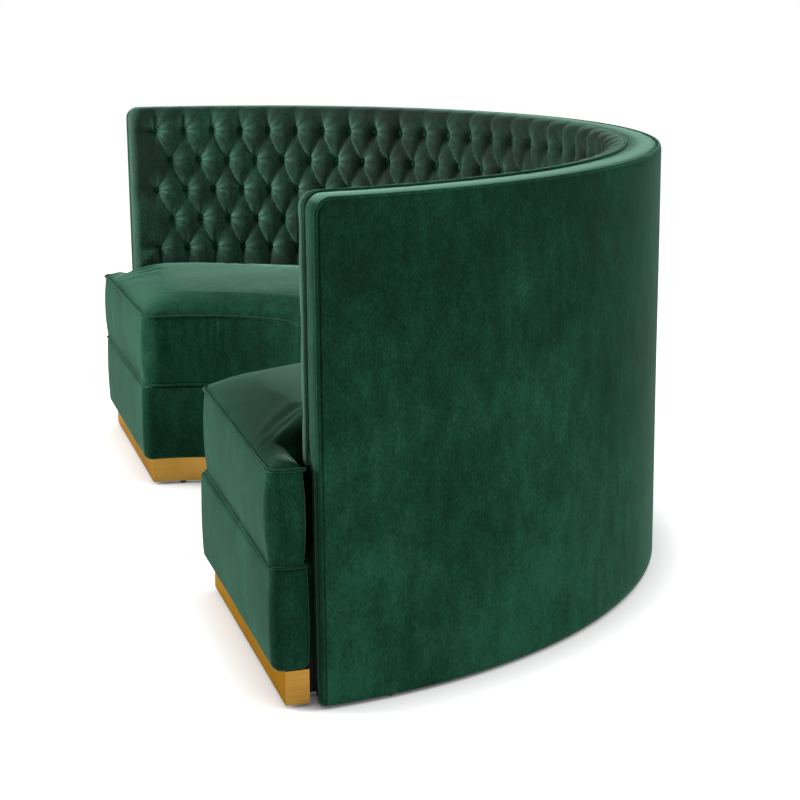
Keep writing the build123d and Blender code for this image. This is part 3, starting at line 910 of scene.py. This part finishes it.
def coveredButtons():
    places = buttonPlaces()
    turn = tuftLook["firstAngle"] + places[:, 0] * halfPitch
    z = tuftLook["topRow"] - places[:, 1] * tuftLook["rowPitch"]
    radius = np.full(len(places), tuftLook["floor"] - buttonLook["rise"])
    mesh = bpy.data.meshes.new("tuftButtons")
    mesh.from_pydata([tuple(p) for p in gridPoints(radius, turn, z)], [], [])
    facing = mesh.attributes.new("facing", "FLOAT_VECTOR", "POINT")
    facing.data.foreach_set("vector", np.stack([-np.cos(turn), -np.sin(turn), 0 * turn], -1).ravel())
    sizes = {
        "Radius": buttonLook["radius"],
        "Flatness": buttonLook["thickness"] / buttonLook["radius"],
        "Segments": buttonLook["segments"],
        "Rings": buttonLook["rings"],
        "Cover": cordVelvet,
    }
    return runTree(addObject("tuftButtons", mesh), buttonTree(), sizes)


buttons = coveredButtons()
print("buttons", len(buttons.data.polygons))


# Padded base under the cushion

baseLook = {
    "front": 0.421,
    "end": -0.024,
    "side": 1.160,
    "back": 0.050,  # leaves the dark gap in front of the wall's end
    "corner": 0.020,
    "innerCorner": 0.024,
    "slant": 0.0,
    "wrap": 1.1180,  # radius of the pad behind the spread ends
    "wrapCorner": 0.016,
    "wrapStart": 0.15,
    "bottom": 0.078,
    "top": 0.284,
    "thickness": 0.0095,
    "bulge": 0.0025,
    "rollFoot": 0.015,
    "rollTop": 0.010,
    "wave": 0.0007,
    "waveScale": 12.0,
}


def basePad():
    low, high = baseLook["bottom"], baseLook["top"]
    thick = baseLook["thickness"]
    rollTop, rollFoot = baseLook["rollTop"], baseLook["rollFoot"]
    section = [(thick, high - 0.001)]  # inset and height of each point
    for turn in np.linspace(rightAngle, 0, 6):
        section.append((rollTop * (1 - math.cos(turn)), high - rollTop + rollTop * math.sin(turn)))
    for share in np.linspace(0, 1, 14)[1:-1]:
        z = high - rollTop + (low + rollFoot - high + rollTop) * share
        section.append((-baseLook["bulge"] * 4 * share * (1 - share), z))
    for turn in np.linspace(0, rightAngle, 7):
        section.append((rollFoot * (1 - math.cos(turn)), low + rollFoot - rollFoot * math.sin(turn)))
    section.append((thick, low))
    line, facing = seatEdge(baseLook)
    along = np.arange(len(line)) * 0.01
    columns = []
    for inset, z in section:
        shown = baseLook["wave"] if inset < thick * 0.9 else 0.0
        wave = shown * ripple(along, np.full(len(line), z), baseLook["waveScale"], 8)
        ring = line - facing * (inset + wave)[:, None]
        ring[:, 2] = z
        columns.append(ring)
    return sweptPiece("basePad", columns, seatVelvet)


base = basePad()
print("base pad", len(base.data.polygons))


# Loose seat cushion

cushionLook = {
    "front": 0.415,
    "end": -0.030,
    "side": 1.165,
    "back": 0.052,
    "outer": 1.0475,  # clear of the buttoned back when the cushion is lifted
    "corner": 0.032,
    "innerCorner": 0.050,
    "slant": 0.009,  # the stuffed ends draw back a little towards the inner corners
    "bottom": 0.2845,
    "edge": 0.4820,
    "seamInset": 0.0090,
    "bulge": 0.0080,
    "crown": 0.0540,
    "frontRoll": 0.026,  # how soon the crown rises from each edge
    "frontRise": 0.160,  # and its slower rise towards the back
    "riseShare": 0.38,
    "endRoll": 0.050,
    "backRoll": 0.012,
    "earRoll": 0.024,
    "earDrop": 0.50,  # how much lower the spread ends stand
    "earFrom": 1.00,
    "earTo": 1.09,
    "slack": 0.0020,
    "slackScale": 8.0,
    "swellReach": 0.010,
    "gather": 0.0011,  # small upright folds under the front seam
    "gatherPace": 95,
    "voxel": 0.007,
    "held": 0.012,  # cloth this near a seam is held by it
    "floorHeld": 0.006,
    "stiffness": 25.0,
    "bending": 4.0,
    "pressure": 4.0,
    "cap": 0.006,  # the most that the filling moves the cloth
    "frames": 20,
}


def cushionEdges(x, y):
    # how far a place in plan lies inside each edge of the cushion
    inset = cushionLook["seamInset"]
    radius = np.hypot(x, y)
    span = cushionLook["side"] - cushionLook["front"]
    drawn = cushionLook["slant"] * np.clip((cushionLook["side"] - np.abs(x)) / span, 0, 1)
    return {
        "front": radius - cushionLook["front"] - inset,
        "end": y - cushionLook["end"] - drawn - inset,
        "back": cushionLook["outer"] - inset - radius,
        "side": cushionLook["side"] - inset - np.abs(x),
        "earBack": cushionLook["back"] - inset - y,
    }


def cushionDepth(x, y):
    edges = cushionEdges(x, y)
    shown = np.minimum(edges["front"], edges["end"])
    ring = np.minimum(shown, edges["back"])
    ear = np.minimum(shown, np.minimum(edges["side"], edges["earBack"]))
    return np.maximum(ring, ear)


def cushionCrown(x, y):
    # share of the full crown: a soft roll up from every edge, lower on the narrow spread ends
    edges = cushionEdges(x, y)

    def roll(edge, reach):
        return 1 - np.exp(-np.maximum(edges[edge], 0) / cushionLook[reach])

    slow = cushionLook["riseShare"]
    front = roll("front", "frontRoll") * (1 - slow) + roll("front", "frontRise") * slow
    ear = np.minimum(edges["side"], edges["earBack"]) / cushionLook["earRoll"]
    back = np.maximum(edges["back"] / cushionLook["backRoll"], ear)
    spread = smoothStep(cushionLook["earFrom"], cushionLook["earTo"], np.abs(x))
    crown = front * roll("end", "endRoll") * (1 - np.exp(-np.maximum(back, 0)))
    return crown * (1 - cushionLook["earDrop"] * spread)


def cushionBlank():
    # the cut shape: the outline drawn in at the seams, as an upright block
    inset = cushionLook["seamInset"]
    line, _ = seatEdge(cushionLook, inset, inset, spacing=0.006)
    outer = cushionLook["outer"] - inset
    start = math.asin((cushionLook["back"] - inset) / outer)
    turns = np.linspace(math.pi - start, start, 400)
    hidden = gridPoints(np.full(len(turns), outer), turns, 0.0)
    outline = np.concatenate([line, hidden])[:, :2]
    shell = bmesh.new()
    corners = [shell.verts.new((x, y, cushionLook["bottom"])) for x, y in outline]
    floorFace = shell.faces.new(corners)
    raised = bmesh.ops.extrude_face_region(shell, geom=[floorFace])
    lifted = [v for v in raised["geom"] if isinstance(v, bmesh.types.BMVert)]
    bmesh.ops.translate(shell, verts=lifted, vec=(0, 0, cushionLook["edge"] - cushionLook["bottom"]))
    bmesh.ops.triangulate(shell, faces=[f for f in shell.faces if len(f.verts) > 4])
    bmesh.ops.recalc_face_normals(shell, faces=shell.faces)
    mesh = bpy.data.meshes.new("seatCushion")
    shell.to_mesh(mesh)
    shell.free()
    piece = addObject("seatCushion", mesh)
    remesh = piece.modifiers.new("evenCloth", "REMESH")
    remesh.mode = "VOXEL"
    remesh.voxel_size = cushionLook["voxel"]
    remesh.use_smooth_shade = True
    settle(piece)
    piece.data.materials.clear()
    piece.data.materials.append(seatVelvet)
    return piece


def readPoints(mesh):
    points = np.empty(len(mesh.vertices) * 3)
    mesh.vertices.foreach_get("co", points)
    return points.reshape(-1, 3)


def writePoints(mesh, points):
    mesh.vertices.foreach_set("co", np.ascontiguousarray(points, float).ravel())
    mesh.update()


def stuff(points):
    # crown the top and fill out the boxing of the cut shape
    x, y, z = points[:, 0], points[:, 1] - centreY, points[:, 2]
    edges = cushionEdges(x, y)
    step = 0.002
    slopeX = (cushionDepth(x + step, y) - cushionDepth(x - step, y)) / (2 * step)
    slopeY = (cushionDepth(x, y + step) - cushionDepth(x, y - step)) / (2 * step)
    length = np.maximum(np.hypot(slopeX, slopeY), 1e-6)
    middle = (cushionLook["bottom"] + cushionLook["edge"]) / 2
    half = (cushionLook["edge"] - cushionLook["bottom"]) / 2
    level = np.clip((z - middle) / half, -1, 1)
    share = cushionCrown(x, y)
    rise = (cushionLook["crown"] + cushionLook["slack"] * ripple(x, y, cushionLook["slackScale"], 31)) * share
    lift = rise * np.clip(level, 0, 1) ** 3
    shown = np.minimum(edges["front"], np.minimum(edges["end"], edges["side"]))  # the back stays straight
    atSide = np.exp(-np.maximum(shown, 0) / cushionLook["swellReach"])
    swell = cushionLook["bulge"] * (1 - np.abs(level) ** 2.2) * atSide
    turn = np.arctan2(y, x)
    onFront = np.exp(-np.abs(edges["front"]) / 0.02) * (y > 0)
    folds = np.sin(turn * cushionLook["gatherPace"] + 2.2 * np.sin(turn * 23))
    folds = folds * (0.5 + 0.5 * np.sin(turn * 7 + 1.0))
    underSeam = smoothStep(-0.2, 0.8, level) * (1 - smoothStep(0.86, 1.0, level))
    swell = swell + cushionLook["gather"] * folds * onFront * underSeam
    out = np.stack([-slopeX / length * swell, -slopeY / length * swell, lift], -1)
    return points + out


def clothPuff(piece):
    # Blender's cloth fills the cushion from inside while its seams are held
    mesh = piece.data
    before = readPoints(mesh)
    x, y, z = before[:, 0], before[:, 1] - centreY, before[:, 2]
    depth = cushionDepth(x, y)
    nearSeam = np.minimum(np.abs(z - cushionLook["edge"]), np.abs(z - cushionLook["bottom"]))
    held = (nearSeam < cushionLook["held"]) & (depth < cushionLook["held"])
    held |= z < cushionLook["bottom"] + cushionLook["floorHeld"]
    group = piece.vertex_groups.new(name="heldSeams")
    group.add([int(i) for i in np.nonzero(held)[0]], 1.0, "REPLACE")
    cloth = piece.modifiers.new("stuffing", "CLOTH")
    settings = cloth.settings
    settings.vertex_group_mass = "heldSeams"
    settings.use_pressure = True
    settings.uniform_pressure_force = cushionLook["pressure"]
    settings.effector_weights.gravity = 0.0
    settings.tension_stiffness = cushionLook["stiffness"]
    settings.compression_stiffness = cushionLook["stiffness"]
    settings.bending_stiffness = cushionLook["bending"]
    settings.quality = 4
    cloth.collision_settings.use_collision = False
    cloth.point_cache.frame_start = 1
    cloth.point_cache.frame_end = cushionLook["frames"]
    for number in range(1, cushionLook["frames"] + 1):
        scene.frame_set(number)
    graph = bpy.context.evaluated_depsgraph_get()
    after = readPoints(piece.evaluated_get(graph).data)
    piece.modifiers.clear()
    piece.vertex_groups.clear()
    scene.frame_set(1)
    moved = after - before
    length = np.maximum(np.linalg.norm(moved, axis=1), 1e-9)
    moved *= np.minimum(1, cushionLook["cap"] / length)[:, None]
    writePoints(mesh, before + moved)
    print("cushion cloth moved", round(float(length.max()) * 1000, 1), "mm at most before the cap")


cushion = cushionBlank()
writePoints(cushion.data, stuff(readPoints(cushion.data)))
clothPuff(cushion)
cushion.data.polygons.foreach_set("use_smooth", [True] * len(cushion.data.polygons))
print("seat cushion", len(cushion.data.polygons))

cushionCords = {
    "radius": 0.0034,
    "inset": 0.0062,
    "backInset": 0.004,
    "top": 0.4795,
    "bottom": 0.2880,
}


def cushionCord(name, height):
    line, _ = seatEdge(cushionLook, cushionCords["inset"], cushionCords["backInset"], height)
    return piping(name, line, cushionCords["radius"])


topCord = cushionCord("cushionTopPiping", cushionCords["top"])
bottomCord = cushionCord("cushionBottomPiping", cushionCords["bottom"])
print("cushion piping", len(topCord.data.polygons), len(bottomCord.data.polygons))


# Who rides on what

boothPieces = {
    wallCover: ("outer_cover",),
    band: ("border_band",),
    outerPiping: ("outer_piping",),
    innerPiping: ("inner_piping",),
    tufts: ("tufted_cover", "back_foam"),
    buttons: ("tuft_buttons",),
    base: ("base_cover",),
}
cushionPieces = {
    cushion: ("seat_cushion",),
    topCord: ("cushion_top_piping",),
    bottomCord: ("cushion_bottom_piping",),
}
for body, pieces in (("booth", boothPieces), ("cushion", cushionPieces)):
    for piece, nodes in pieces.items():
        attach(piece, body)
        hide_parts(*nodes)


# Studio

studio = {
    "floorSize": 60.0,
    "floorTone": (0.80, 0.80, 0.80),
    "floorGlow": 0.93,
    "shadowReach": 0.16,
    "shadowDepth": 1.5,
    "worldLight": 0.085,
}
lamps = {  # watts, place, size, and what each is aimed at
    "keyLamp": (325.0, (-1.3, -5.0, 2.0), 2.2, (0.2, 0, 0.5)),
    "rimLamp": (30.0, (-5.0, -0.6, 2.9), 3.0, (0, 0, 0.8)),
    "topLamp": (140.0, (2.8, 3.2, 3.8), 3.0, (0, 0, 0.4)),
    "fillLamp": (42.0, (4.6, 0.3, 1.0), 2.0, (0.6, 0, 0.5)),
}


def seenDirectly(tree):
    # 1 where the eye or a mirror looks, 0 where only light bounces
    path = tree.nodes.new("ShaderNodeLightPath").outputs
    seen = mathNode(tree, "MAXIMUM", path["Is Camera Ray"], path["Is Glossy Ray"])
    return mathNode(tree, "MAXIMUM", seen, path["Is Transmission Ray"])


def studioFloor():
    size = studio["floorSize"] / 2
    corners = [(-size, -size, 0), (size, -size, 0), (size, size, 0), (-size, size, 0)]
    material, tree, shader, _ = newMaterial("studioFloor")
    shader.inputs["Base Color"].default_value = (*studio["floorTone"], 1)
    shader.inputs["Roughness"].default_value = 1.0
    shader.inputs["Specular IOR Level"].default_value = 0.0
    near = tree.nodes.new("ShaderNodeAmbientOcclusion")
    near.inputs["Distance"].default_value = studio["shadowReach"]
    clear = mathNode(tree, "POWER", near.outputs["AO"], studio["shadowDepth"])
    glow = tree.nodes.new("ShaderNodeEmission")
    strength = times(tree, times(tree, seenDirectly(tree), clear), studio["floorGlow"])
    tree.links.new(strength, glow.inputs["Strength"])
    both = tree.nodes.new("ShaderNodeAddShader")
    tree.links.new(shader.outputs["BSDF"], both.inputs[0])
    tree.links.new(glow.outputs["Emission"], both.inputs[1])
    tree.links.new(both.outputs["Shader"], tree.nodes["Material Output"].inputs["Surface"])
    floor = placeMesh("studioFloor", corners, [(0, 1, 2, 3)], material, smooth=False)


def studioWorld():
    world = bpy.data.worlds.new("studioWorld")
    scene.world = world
    world.use_nodes = True
    tree = world.node_tree
    background = tree.nodes["Background"]
    background.inputs["Color"].default_value = (1, 1, 1, 1)
    strength = times(tree, seenDirectly(tree), 1 - studio["worldLight"])
    strength = plus(tree, strength, studio["worldLight"])
    tree.links.new(strength, background.inputs["Strength"])


def softLamp(name, power, place, size, aim):
    lamp = bpy.data.lights.new(name, "AREA")
    lamp.energy = power
    lamp.shape = "SQUARE"
    lamp.size = size
    piece = addObject(name, lamp)
    piece.location = place
    piece.rotation_euler = (Vector(aim) - Vector(place)).to_track_quat("-Z", "Y").to_euler()


studioFloor()
studioWorld()
for name, lamp in lamps.items():
    softLamp(name, *lamp)

# Camera: placed from the photograph's own lines, in the half circle's frame
shot = {
    "place": (4.2588, -0.7018, 1.3932),
    "turn": 0.2818,
    "tilt": 0.2064,
    "roll": -0.0103,
    "focal": 1757.6,  # in pixels of an 800 pixel frame
    "frameWidth": 800.0,
    "sensor": 36.0,
    "shift": (0.0250, -0.0750),
}


def photoCamera():
    data = bpy.data.cameras.new("photoCamera")
    data.sensor_width = shot["sensor"]
    data.lens = shot["focal"] * shot["sensor"] / shot["frameWidth"]
    data.shift_x, data.shift_y = shot["shift"]
    data.clip_end = 200.0
    piece = addObject("photoCamera", data)
    turn, tilt = shot["turn"], shot["tilt"]
    ahead = Vector((-math.cos(turn) * math.cos(tilt), math.sin(turn) * math.cos(tilt), -math.sin(tilt)))
    right = Vector((math.sin(turn), math.cos(turn), 0))
    above = right.cross(ahead)
    cosRoll, sinRoll = math.cos(shot["roll"]), math.sin(shot["roll"])
    rolledRight = right * cosRoll + above * sinRoll
    rolledAbove = above * cosRoll - right * sinRoll
    matrix = Matrix((rolledRight, rolledAbove, -ahead)).transposed().to_4x4()
    x, y, z = shot["place"]
    matrix.translation = (x, y + centreY, z)
    piece.matrix_world = matrix
    scene.camera = piece


photoCamera()
scene.view_settings.view_transform = "Standard"
print("studio ready")
